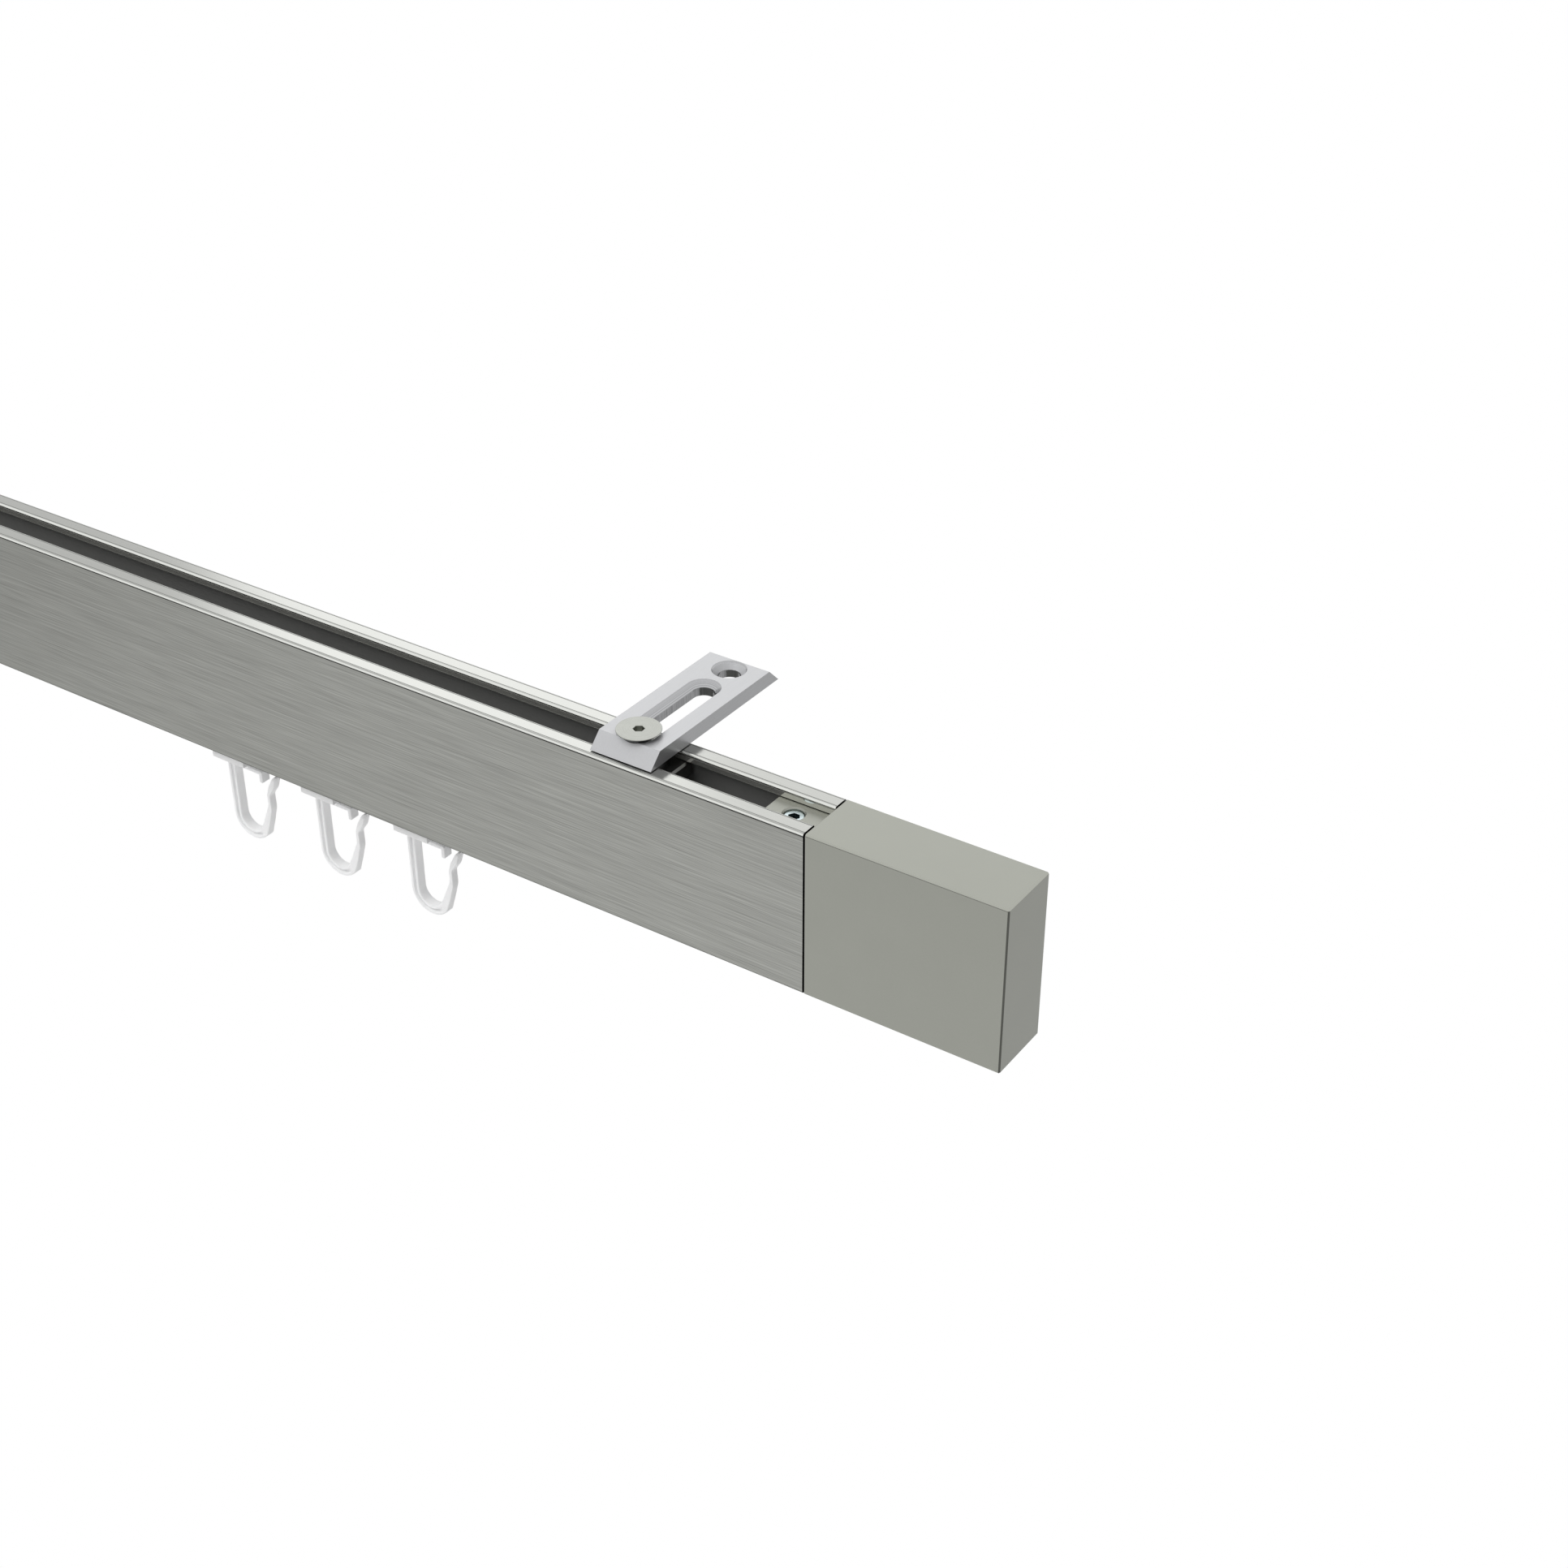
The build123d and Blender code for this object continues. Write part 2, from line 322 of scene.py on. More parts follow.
class Look:
    """The nodes of one material or of the world."""

    def __init__(self, owner):
        owner.use_nodes = True
        self.owner = owner
        self.tree = owner.node_tree

    def node(self, kind, settings=None, sockets=None, output=0):
        """Adds a node, sets its settings, then the values or wires of its sockets."""
        made = self.tree.nodes.new(kind)
        for key, value in (settings or {}).items():
            setattr(made, key, value)
        self.feed(made, sockets or {})
        return Wire(self, made.outputs[output])

    def feed(self, node, sockets):
        """Sets the values or wires of a node's sockets."""
        for key, value in sockets.items():
            if isinstance(value, Wire):
                self.tree.links.new(value.socket, node.inputs[key])
            else:
                node.inputs[key].default_value = value

    def shader(self, sockets):
        """Sets the sockets of the Principled shader that the material came with."""
        self.feed(self.tree.nodes["Principled BSDF"], sockets)
        return self.owner

    def at(self, centre=(0, 0, 0)):
        """Object coordinates in millimetres from a centre in millimetres."""
        spot = self.node("ShaderNodeTexCoord", output="Object")
        shift = {"Vector": spot, "Location": [-c for c in centre], "Scale": (1000, 1000, 1000)}
        return self.node("ShaderNodeMapping", {}, shift)

    def axes(self, at):
        """The three components of a vector."""
        return [self.node("ShaderNodeSeparateXYZ", {}, {0: at}, output=i) for i in range(3)]

    def noise(self, at, cell, detail=2.0):
        """Noise whose cells have these sizes in millimetres along x, y and z."""
        cells = self.node("ShaderNodeMapping", {}, {"Vector": at, "Scale": [1 / size for size in cell]})
        return self.node("ShaderNodeTexNoise", {}, {"Vector": cells, "Scale": 1.0, "Detail": detail})

    def rings(self, along, pitch):
        """Noise in bands of this pitch in millimetres, along a distance."""
        bands = {"W": along * (1 / pitch), "Scale": 1.0}
        return self.node("ShaderNodeTexNoise", {"noise_dimensions": "1D"}, bands)

    def mix(self, factor, first, second):
        """The second colour over the first."""
        pair = {6: first if isinstance(first, Wire) else (*first, 1), 7: (*second, 1)}
        return self.node("ShaderNodeMix", {"data_type": "RGBA"}, {0: factor, **pair}, output=2)

    def tint(self, colour, shade):
        """The colour times a shade that varies around one."""
        grey = self.node("ShaderNodeCombineXYZ", {}, {0: shade, 1: shade, 2: shade})
        return self.node("ShaderNodeVectorMath", {"operation": "MULTIPLY"}, {0: colour, 1: grey})

    def bump(self, height, depth):
        """A bump of this depth in millimetres."""
        return self.node("ShaderNodeBump", {}, {"Height": height, "Strength": 1.0, "Distance": depth * MM})

    def seen(self):
        """One for camera, glossy and transmission rays, and zero for the rays that light the rod."""
        kinds = ("Is Camera Ray", "Is Glossy Ray", "Is Transmission Ray")
        camera, glossy, through = [self.node("ShaderNodeLightPath", output=kind) for kind in kinds]
        return camera.most(glossy).most(through)


def between(value, low, high):
    """One where the value lies between two numbers, and zero elsewhere."""
    return (value > low) * (value < high)


def brushed_finish(s):
    """Anodised profile: brushed lengthwise outside, plain and brighter on the flanges beside the slot.

    The grooves and the dents beside each rounded edge are darkened with painted shade, the rounds carry a
    painted highlight, and the walls of the slot's lips are smooth enough to mirror what lies in the slot.
    The ends are darkened with painted shade, as the shade in the gaps beside the caps.
    """
    look = Look(bpy.data.materials.new("Brushed profile"))
    at = look.at((0, ROD_Y, ROD_TOP))
    x, y, z = look.axes(at)
    side = abs(y)
    lines = look.noise(at, (45, 0.19, 0.19)) * 0.38 + look.noise(at, (14, 0.13, 0.13)) * 0.62 - 0.5
    cloud = look.noise(at, (60, 18, 18)) - 0.5
    wall = side < HALF_SLOT + 0.1
    crown = z > CROWN
    lip = wall * between(z, -LIP - 0.05, -0.5)
    channel = (side < HALF_WIDTH - 0.7) * between(z, 0.3 - HEIGHT, CROWN) * (1 - lip)
    outside = 1 - crown.most(channel).most(lip)
    outer, inner = (between(side, start - 0.01, start + GROOVE_WIDTH + 0.01) for start in GROOVES)
    dent_band = between(z, *DENT_SHADE)
    painted_dent_shade = (dent_band * (side > HALF_WIDTH - 0.1)).most(dent_band * wall * 0.6)
    # Painted shade: the grooves in the top face and the dents under the rounds are darkened
    dark = ((z > -0.1) * outer.most(inner) * 0.5).most(painted_dent_shade)
    # Painted highlight along the rounded edges of the flanges and the lips
    rounds = between(z, DENT_SHADE[1], -0.12) * (side > HALF_WIDTH - 0.5)
    rounds = rounds + between(z, DENT_SHADE[1], -0.03) * (side < HALF_SLOT + 0.5)
    # Painted shade on the profile's ends, in the gaps beside the caps
    ends = abs(x) > HALF_LENGTH - 0.02
    colour = look.mix(crown, s.rod_colour, s.flange_colour)
    colour = look.mix(channel, colour, s.channel_colour)
    colour = look.mix(lip, colour, s.lip_colour)
    shade = 1 + lines * (0.12 + outside * 1.5) + cloud * 0.06 + rounds * 0.7
    shade = shade * (1 - dark * 0.88) * (1 - ends * 0.93)
    return look.shader({
        "Base Color": look.tint(colour, shade),
        "Metallic": 1 - channel * 0.6 - lip * 0.12,
        "Specular Tint": look.tint((1, 1, 1), 0.9 - outside * 0.55),
        "Roughness": 0.16 + outside * 0.22 + lines * 0.2 + channel * 0.14 - lip * 0.1,
        "Normal": look.bump(lines * outside, 0.014),
    })


def satin_finish(s):
    """Cast cap: satin grey with a fine even grain, and a painted highlight on the bevels round its top.

    The long edges under those bevels and the vertical edges at its end carry a painted dark reflection,
    and the face beside the profile's end carries painted shade. The top and the tongue are brightened
    with painted light.
    """
    look = Look(bpy.data.materials.new("Satin cap"))
    at = look.at((0, ROD_Y, ROD_TOP))
    x, y, z = look.axes(at)
    grain = look.noise(at, (0.16, 0.16, 0.16), 3) - 0.5
    cloud = look.noise(at, (9, 9, 9)) - 0.5
    foot = 0.015 - CAP_EDGE
    # Painted highlight on the bevels round the top, and painted dark reflection along the edges under them
    # and along the vertical edges at the end
    painted_bevel_highlight = between(z, foot, -0.005)
    under = between(z, foot - 0.135, foot) * (abs(y) > HALF_WIDTH - 0.05)
    painted_upright_shade = between(abs(x), CAP_END + foot, CAP_END - 0.005) * (z < foot - 0.005)
    # Painted shade on the face beside the profile's end
    painted_gap_shade = between(abs(x), CAP_START - 0.02, CAP_START + 0.02)
    # Painted light on the top and on the tongue in the slot
    top = z > -0.01
    tongue = abs(x) < CAP_START - 0.1
    shade = 1 + grain * 0.16 + cloud * 0.05 + painted_bevel_highlight * 0.75 - under * 0.45 - painted_upright_shade * 0.6
    shade = shade + top * 0.35 + tongue * 0.36
    return look.shader({
        "Base Color": look.tint(s.cap_colour, shade * (1 - painted_gap_shade * 0.95)),
        "Metallic": 1.0,
        "Roughness": 0.38 + grain * 0.15,
        "Normal": look.bump(grain, 0.006),
    })


def plate_finish(s):
    """Plain aluminium: matt silver on top, glossier long sides, turned cones and fluted bores. Painted shade
    darkens the long sides, the sloped bevels, the cones and the bores.

    A cone's radius at height z is z + 0.5 and a bore's is 2.25, about a round hole at y = 0 and about a slot
    whose distance counts from the nearer of its two centres. The rim allows 0.04 mm more.
    """
    look = Look(bpy.data.materials.new("Plate aluminium"))
    at = look.at()
    x, y, z = look.axes(at)
    rolled = look.noise(at, (0.25, 7, 0.25), 3) - 0.5
    pits = look.noise(at, (0.12, 0.12, 0.12)) - 0.5
    flutes = look.noise(at, (0.35, 0.35, 30), 3) - 0.5
    rings = look.rings(z, 0.14) - 0.5
    aside = abs(x) - PLATE_X
    past = (y - SLOT_FAR).most(0) - (SLOT_NEAR - y).most(0)
    rim = z.most(CONE_START) + 0.54
    near = (aside * aside + past * past < rim * rim).most(aside * aside + y * y < rim * rim)
    cut = near * between(z, 0.015, PLATE_THICKNESS - 0.015)
    cone = cut * (z > CONE_START)
    bore = cut - cone
    sawn_and_shaded = abs(aside) > HALF_PLATE - 0.03
    upwards = look.axes(look.node("ShaderNodeTexCoord", output="Normal"))[2]
    bevel = between(upwards, 0.2, 0.95) * (1 - cut)
    # Painted shade darkens the cones a little and the bores much more
    shade = 1 + rolled * 0.10 + pits * 0.06 + cone * (rings * 0.5 - 0.22) + bore * (flutes * 0.5 - 0.58)
    # Painted shade on the long sides and on the sloped bevels
    shade = shade - sawn_and_shaded * 0.36 - bevel * 0.13
    return look.shader({
        "Base Color": look.tint(s.plate_colour, shade),
        "Metallic": 0.35 + cut * 0.6 + sawn_and_shaded * 0.3,
        "Roughness": 0.42 + pits * 0.2 - cut * 0.22 - sawn_and_shaded * 0.1,
        "Normal": look.bump(rolled * (1 - cut) + pits * 0.5 + rings * cone + flutes * bore, 0.004),
    })


def turned_finish(name, colour, centre, top, socket_shade, cone, roughness):
    """Turned and zinc plated steel: fine rings about the screw's own axis and a soft cloud in the plating.

    The top is a height above the centre. The socket takes its own shade, and a cone of the given height under
    the head is dark, because it lies in the head's shadow.
    """
    look = Look(bpy.data.materials.new(name))
    at = look.at(centre)
    x, y, z = look.axes(at)
    radius = (x * x + y * y).root()
    rings = look.rings(radius, 0.11) - 0.5
    cloud = look.noise(at, (1.6, 1.6, 1.6)) - 0.5
    socket = (radius < 1.24) * between(z, top - 2.5, top - 0.05)
    under = (radius > 2.3) * between(z, top - cone, top - 0.1)
    shade = (1 + rings * 0.22 + cloud * 0.10) * (1 - socket * (1 - socket_shade)) * (1 - under * 0.92)
    return look.shader({
        "Base Color": look.tint(colour, shade),
        "Metallic": 1.0,
        "Roughness": roughness + rings * 0.16,
        "Normal": look.bump(rings, 0.006),
    })


def nut_finish(s):
    """Zinc plated steel nut: a faint grain and cloudy plating, in a colour darkened as painted shade."""
    look = Look(bpy.data.materials.new("Nut steel"))
    at = look.at()
    grain = look.noise(at, (0.9, 0.15, 0.15), 3) - 0.5
    cloud = look.noise(at, (2.5, 2.5, 2.5)) - 0.5
    return look.shader({
        "Base Color": look.tint(s.nut_shaded_colour, 1 + grain * 0.15 + cloud * 0.15),
        "Metallic": 1.0,
        "Roughness": 0.32 + cloud * 0.2,
        "Normal": look.bump(grain, 0.005),
    })


def runner_finish(s):
    """White moulded plastic with a fine eroded texture."""
    look = Look(bpy.data.materials.new("Runner plastic"))
    grain = look.noise(look.at(), (0.22, 0.22, 0.22)) - 0.5
    return look.shader({
        "Base Color": look.tint(s.runner_colour, 1 + grain * 0.04),
        "Roughness": 0.45 + grain * 0.15,
        "Normal": look.bump(grain, 0.004),
        "Transmission Weight": s.runner_clearness,
        "IOR": 1.49,
    })


def hook_finish(s):
    """Milky moulded plastic: satin, with light that scatters a little inside it and faint flow marks."""
    look = Look(bpy.data.materials.new("Hook plastic"))
    flow = look.noise(look.at(), (1.2, 0.5, 2.4)) - 0.5
    return look.shader({
        "Base Color": look.tint(s.hook_colour, 1 + flow * 0.06),
        "Roughness": 0.5 + flow * 0.1,
        "Normal": look.bump(flow, 0.006),
        "Subsurface Weight": 0.2,
        "Subsurface Radius": (1, 1, 1),
        "Subsurface Scale": 0.5 * MM,
        "IOR": 1.38,
    })


# Settings


def colour(name, description, value):
    """A setting that holds a colour."""
    return bpy.props.FloatVectorProperty(
        name=name, description=description, subtype="COLOR", size=3, min=0, max=1, default=value
    )


class CurtainRodMetal(bpy.types.PropertyGroup):
    """Colours of the metal pieces."""

    rod_colour: colour("Profile", "Brushed outside of the profile", (0.264, 0.267, 0.251))
    flange_colour: colour("Flanges", "Bright flanges beside the slot", (0.440, 0.445, 0.425))
    channel_colour: colour("Channels", "Inside of the slot and the track", (0.23, 0.23, 0.225))
    lip_colour: colour("Lips", "Smooth walls of the slot's lips", (0.85, 0.85, 0.80))
    cap_colour: colour("End caps", "Satin end caps", (0.243, 0.248, 0.222))
    plate_colour: colour("Plates", "Ceiling plates", (0.565, 0.57, 0.582))
    screw_colour: colour("Bracket screws", "Bracket screws", (0.36, 0.368, 0.342))
    grub_colour: colour("Grub screws", "Blue plated grub screws", (0.60, 0.69, 0.71))
    # Darkened as painted shade: the nuts lie in the plates' shade
    nut_shaded_colour: colour("Slide nuts", "Slide nuts", (0.13, 0.13, 0.125))


class CurtainRodPlastic(bpy.types.PropertyGroup):
    """Colours, clearness and groove of the moulded pieces."""

    runner_colour: colour("Runners", "Runners in the track", (0.86, 0.86, 0.86))
    runner_clearness: bpy.props.FloatProperty(
        name="Runner clearness", description="Share of light that goes through a runner", default=0.1,
        min=0, max=1, subtype="FACTOR",
    )
    hook_colour: colour("Hooks", "Pleat hooks", (0.925, 0.927, 0.93))
    groove_depth: bpy.props.FloatProperty(
        name="Groove depth", description="Depth of the groove in a hook's leg, in millimetres", default=0.75,
        min=0.1, max=0.9,
    )


class CurtainRodThreads(bpy.types.PropertyGroup):
    """Sizes of the screw threads."""

    pitch: bpy.props.FloatProperty(
        name="Pitch", description="Rise of a thread in one turn", default=0.0007, min=0.0003, max=0.0015,
        unit="LENGTH", precision=4,
    )
    depth: bpy.props.FloatProperty(
        name="Depth", description="Depth of a thread", default=0.00036, min=0.0001, max=0.0006,
        unit="LENGTH", precision=5,
    )


class CurtainRodStage(bpy.types.PropertyGroup):
    """The studio around the rod."""

    floor_drop: bpy.props.FloatProperty(
        name="Floor", description="Depth of the floor under the rod", default=0.42, min=0.1, max=2,
        unit="LENGTH",
    )
    floor_reach: bpy.props.FloatProperty(
        name="Floor reach", description="Half the width of the floor", default=6.0, min=1, max=20,
        unit="LENGTH",
    )
    sky: bpy.props.FloatProperty(
        name="Sky", description="Soft light from all around", default=0.5, min=0, max=2, subtype="FACTOR"
    )
    key_power: bpy.props.FloatProperty(
        name="Key", description="Power of the lamp above and behind", default=0.18, min=0, max=200,
        unit="POWER",
    )
    panel_power: bpy.props.FloatProperty(
        name="Panel", description="Power of the wide panel behind the key lamp", default=1.15, min=0, max=200,
        unit="POWER",
    )
    front_power: bpy.props.FloatProperty(
        name="Front", description="Power of the wide lamp low in front", default=0.85, min=0, max=200,
        unit="POWER",
    )
    overhead_power: bpy.props.FloatProperty(
        name="Overhead", description="Power of the large soft lamp above", default=16.0, min=0, max=200,
        unit="POWER",
    )
    lens: bpy.props.FloatProperty(
        name="Lens", description="Focal length of the camera, in millimetres", default=54.711, min=20, max=200
    )


# Operators


class CURTAINROD_OT_profile(bpy.types.Operator):
    """Carries the section of the profile along the rod, with true rounds on its edges"""

    bl_idname = "curtain_rod.profile"
    bl_label = "Brushed Profile"

    def execute(self, context):
        low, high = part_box("rod_profile")
        mesh = pierced("rod_body", np.linspace(low.x / MM, high.x / MM, 13), self.outside(), self.hollow())
        finish = brushed_finish(context.scene.curtain_rod_metal)
        place("rod_body", mesh, finish, "rod", "rod_profile", 0.5)
        return {"FINISHED"}

    def outside(self):
        """The outline with its slot and track, from corners and their radii on one side, and their mirror."""
        under = LIP - HEIGHT
        flank = [
            *self.groove(GROOVES[0]), ((HALF_WIDTH, 0), EDGE), *self.dent(HALF_WIDTH, -GROOVE_DEPTH),
            ((HALF_WIDTH, -HEIGHT), 0.6), ((HALF_TRACK, -HEIGHT), 0.6), ((HALF_TRACK, under), 0.1),
            ((HALF_CHANNEL, under), 0.25), ((HALF_CHANNEL, -25), 0.35),
        ]
        slot = [
            ((HALF_CHANNEL, -8.5), 0.35), ((HALF_CHANNEL, -LIP), 0.25), ((HALF_SLOT, -LIP), 0.1),
            *reversed(self.dent(HALF_SLOT, GROOVE_DEPTH)), ((HALF_SLOT, 0), EDGE), *self.groove(GROOVES[1]),
        ]
        corners, radii = zip(*flank, *self.mirrored(flank), *self.mirrored(slot), *slot)
        return rounded_outline(corners, radii, support=0.008)

    def hollow(self):
        """The closed chamber between the slot and the track."""
        top, under = -9.9, -23.6
        corners = [(-HALF_CHANNEL, top), (HALF_CHANNEL, top), (HALF_CHANNEL, under), (-HALF_CHANNEL, under)]
        return rounded_outline(corners, 0.5)

    def groove(self, start):
        """The corners of a groove in the top face."""
        steps = zip((0, 0.03, GROOVE_WIDTH - 0.03, GROOVE_WIDTH), (0, -GROOVE_DEPTH, -GROOVE_DEPTH, 0))
        return [((start + across, down), 0.02) for across, down in steps]

    def dent(self, side, depth):
        """The corners of a groove along a wall, just under the round of its top edge."""
        steps = zip((0, depth, depth, 0), (-0.52, -0.55, -0.65, -0.68))
        return [((side + across, down), 0.02) for across, down in steps]

    def mirrored(self, run):
        """The corners of the other side, in the order that carries the outline on."""
        return [((-across, down), radius) for (across, down), radius in reversed(run)]


class CURTAINROD_OT_caps(bpy.types.Operator):
    """Gives the end caps their satin finish"""

    bl_idname = "curtain_rod.caps"
    bl_label = "End Caps"

    def execute(self, context):
        finish = satin_finish(context.scene.curtain_rod_metal)
        for side in SIDES:
            dress(f"end_cap_{side}", finish)
        return {"FINISHED"}


class CURTAINROD_OT_brackets(bpy.types.Operator):
    """Gives the ceiling plates and the slide nuts their finish"""

    bl_idname = "curtain_rod.brackets"
    bl_label = "Plates and Nuts"

    def execute(self, context):
        metal = context.scene.curtain_rod_metal
        plate, nut = plate_finish(metal), nut_finish(metal)
        for side in SIDES:
            dress(f"bracket_plate_{side}", plate)
            dress(f"slide_nut_{side}", nut)
        return {"FINISHED"}


class CURTAINROD_OT_screws(bpy.types.Operator):
    """Turns the bracket screws and the grub screws, with their threads and hexagon sockets"""

    bl_idname = "curtain_rod.screws"
    bl_label = "Screws"

    def execute(self, context):
        for side in SIDES:
            self.bracket_screw(context, side)
            self.grub_screw(context, side)
        return {"FINISHED"}

    def bracket_screw(self, context, side):
        """A countersunk screw: a cone of 45 degrees under a thin rim, and a flat top in four rings."""
        name, crest, rim, corner = f"bracket_screw_{side}", 2.0, 0.15, np.radians(35)
        low, high = (np.array(c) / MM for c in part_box(name))
        centre, foot, top, head = (low + high) / 2, low[2], high[2], (high - low)[0] / 2
        seat = top - rim
        profile = [
            (seat - 0.3, head - 0.3), (seat, head), (top - 0.06, head), (top, head - 0.06),
            (top, 3.8), (top, 2.6), (top, 1.7),
        ]
        mesh = self.screw(
            context, name, centre, foot, seat - head + crest, profile, socket=1.6, corner=corner, crest=crest
        )
        finish = turned_finish(
            f"Screw {side}", context.scene.curtain_rod_metal.screw_colour, centre, top - centre[2],
            socket_shade=1.3, cone=1.1, roughness=0.30,
        )
        place(f"flat_screw_{side}", mesh, finish, f"screw_{side}", name)

    def grub_screw(self, context, side):
        """A headless screw with a small bevel at its top."""
        name = f"grub_screw_{side}"
        low, high = (np.array(c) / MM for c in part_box(name))
        centre, foot, top = (low + high) / 2, low[2], high[2]
        profile = [(top - 0.34, 1.94), (top - 0.14, 1.94), (top, 1.8)]
        mesh = self.screw(
            context, name, centre, foot, top - 0.4, profile, socket=2.2, corner=0.0, crest=1.95
        )
        finish = turned_finish(
            f"Grub {side}", context.scene.curtain_rod_metal.grub_colour, centre, top - centre[2],
            socket_shade=0.5, cone=0.0, roughness=0.24,
        )
        place(f"set_screw_{side}", mesh, finish, "rod", name)

    def screw(self, context, name, centre, foot, neck, profile, socket, corner, crest):
        """A screw as one grid of angle and height.

        Its radius follows the thread, with this crest, from the foot to the neck, then the head's profile of
        heights and radii up to the top, and then the hexagon down into the socket. One of the hexagon's
        corners lies at the angle given.
        """
        threads = context.scene.curtain_rod_threads
        pitch, core = threads.pitch / MM, crest - threads.depth / MM
        angle = np.radians(np.arange(0, 360, 5))
        shank = np.arange(foot + 0.3, neck - 0.05, pitch / 10)[:, None]
        half_hexagon = 1.0
        wall = hexagon(angle, corner, half_hexagon)
        top = profile[-1][0]
        floor = top - socket + 0.02
        rows = [(foot, core - 0.15), (foot + 0.2, core)]
        rows += zip(shank[:, 0], thread(angle, shank, foot + 0.3, neck - 0.1, pitch, core, crest))
        rows += profile
        rows += [(top, wall * 1.07), (top - 0.07, wall), (floor, wall), (floor, wall * 0.8)]
        height = np.array([np.full_like(angle, z) for z, r in rows])
        radius = np.array([np.broadcast_to(r, angle.shape) for z, r in rows])
        across, along = radius * np.cos(angle), radius * np.sin(angle)
        return tube(name, np.stack([centre[0] + across, centre[1] + along, height], -1))


class CURTAINROD_OT_runners(bpy.types.Operator):
    """Gives the runners their moulded finish"""

    bl_idname = "curtain_rod.runners"
    bl_label = "Runners"

    def execute(self, context):
        finish = runner_finish(context.scene.curtain_rod_plastic)
        for number in GLIDERS:
            dress(f"runner_{number}", finish)
        return {"FINISHED"}


class CURTAINROD_OT_hooks(bpy.types.Operator):
    """Moulds the pleat hooks: grooved leg and bend, tapered snap arm, head with its tooth, and loop"""

    bl_idname = "curtain_rod.hooks"
    bl_label = "Pleat Hooks"

    def execute(self, context):
        plastic = context.scene.curtain_rod_plastic
        finish = hook_finish(plastic)
        parts = [self.leg_and_arm(plastic.groove_depth), self.head(), self.tooth(), self.loop()]
        pattern = united("hook", parts)
        where = np.empty(len(pattern.vertices) * 3, np.float32)
        pattern.vertices.foreach_get("co", where)
        for number in GLIDERS:
            low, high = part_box(f"runner_{number}")
            mesh = pattern.copy()
            moved = where.reshape(-1, 3) + ((low.x + high.x) / 2, 0, 0)
            mesh.vertices.foreach_set("co", moved.astype(np.float32).ravel())
            name, body, node = f"hook_{number}_moulded", f"hook_{number}", f"pleat_hook_{number}"
            place(name, mesh, finish, body, node, 0.7)
        return {"FINISHED"}

    def set_in(self, along, across, height):
        """From along the rod, across it and above its underside to the rod's frame."""
        return np.stack(np.broadcast_arrays(along, ROD_Y + across, ROD_UNDER + height), -1)

    def leg_and_arm(self, groove):
        """A section with a groove on both sides, carried down the leg, round the bend and up the arm.

        The inner and the outer edge are two curves of the same count of points. The section's first
        coordinate goes from the outer edge at -1.05 to the inner edge at 1.05, and its second is the depth:
        the groove's floor rises towards the arm, where the whole gets thinner. The arm's end is rounded.
        """
        leg, bend, arm = 16, 34, 40
        full, thin, half = HALF_HOOK, 0.9, (LEG_INSIDE - LEG_OUTSIDE) / 2
        floor = full - 0.75
        down = np.linspace(-5.7, -18.4, leg)
        inner_bend, outer_bend = self.bend(3.1, bend), self.bend(5.19, bend)
        inner_arm = [inner_bend[-1], (3.3, -17.8), (5.0, -13.9), (5.02, -11.2), (5.65, -9.1), (7.4, -6.0)]
        outer_arm = [outer_bend[-1], (4.7, -18.9), (5.85, -14.9), (5.75, -11.2), (7.25, -9.1), (8.2, -6.2)]
        outer_leg = np.stack([np.full(leg, LEG_OUTSIDE), down], 1)
        inner_leg = np.stack([np.full(leg, LEG_INSIDE), down], 1)
        outer = np.concatenate([outer_leg, outer_bend, resampled(outer_arm, arm)[1:]])
        inner = np.concatenate([inner_leg, inner_bend, resampled(inner_arm, arm)[1:]])

        corners = [(-half, full), (-0.32, full), (-0.22, floor), (0.32, floor), (0.42, full), (half, full)]
        corners += [(a, -b) for a, b in reversed(corners)]
        section = rounded_outline(corners, [0.28, 0.14, 0.16, 0.16, 0.14, 0.28] * 2, 3, 0.02)
        in_groove = (np.abs(section[:, 1]) < full - 0.0001) & (np.abs(section[:, 0] - 0.05) < 0.55)
        face = np.sign(section[:, 1]) * full

        at = np.arange(len(outer))
        fade = 1 - ease(at, leg + 24, leg + bend)
        deep = full + (thin - full) * ease(at, leg + 26, leg + 40)
        scale = np.ones(len(outer))
        scale[-3:] = 1.0, 0.85, 0.55
        across = (inner - outer) / (2 * half) * scale[:, None]
        sunk = np.where(in_groove, fade[:, None] * groove / (full - floor), 1)
        depth = face + (section[:, 1] - face) * sunk
        first = ((inner + outer) / 2)[:, None] + section[:, :1] * across[:, None]
        return tube("leg", self.set_in(first[..., 0], depth * (deep * scale)[:, None] / full, first[..., 1]))

    def bend(self, radius, count):
        """Points round the bend, from the leg to where the arm begins."""
        turn = np.radians(np.linspace(180, 322, count))
        return np.stack([BEND[0] + radius * np.cos(turn), BEND[1] + radius * np.sin(turn)], 1)

    def head(self):
        """The bar of the head, a T section carried along the rod, with its ends rounded."""
        wide, narrow = HALF_HOOK, 0.5
        top, step, bottom = -5.5, -6.3, -7.0
        corners = [
            (-wide, top), (wide, top), (wide, step), (narrow, step),
            (narrow, bottom), (-narrow, bottom), (-narrow, step), (-wide, step),
        ]
        section = rounded_outline(corners, [0.2, 0.2, 0.2, 0.1, 0.15, 0.15, 0.1, 0.2], 3, 0.02)
        return block("head", section, -5.69, 4.49, 0.2, self.set_in)

    def tooth(self):
        """The tooth, a rounded tongue of nearly the full depth under the free end of the head."""
        inside, outside, top, bottom = 3.6, 4.5, -5.7, -8.45
        corners = [(inside, top), (outside, top), (outside, bottom), (inside, bottom)]
        section = rounded_outline(corners, [0.1, 0.1, 0.3, 0.3], 4, 0.02)
        half = HALF_HOOK - 0.01
        return block("tooth", section, -half, half, 0.2, lambda run, x, z: self.set_in(x, run, z))

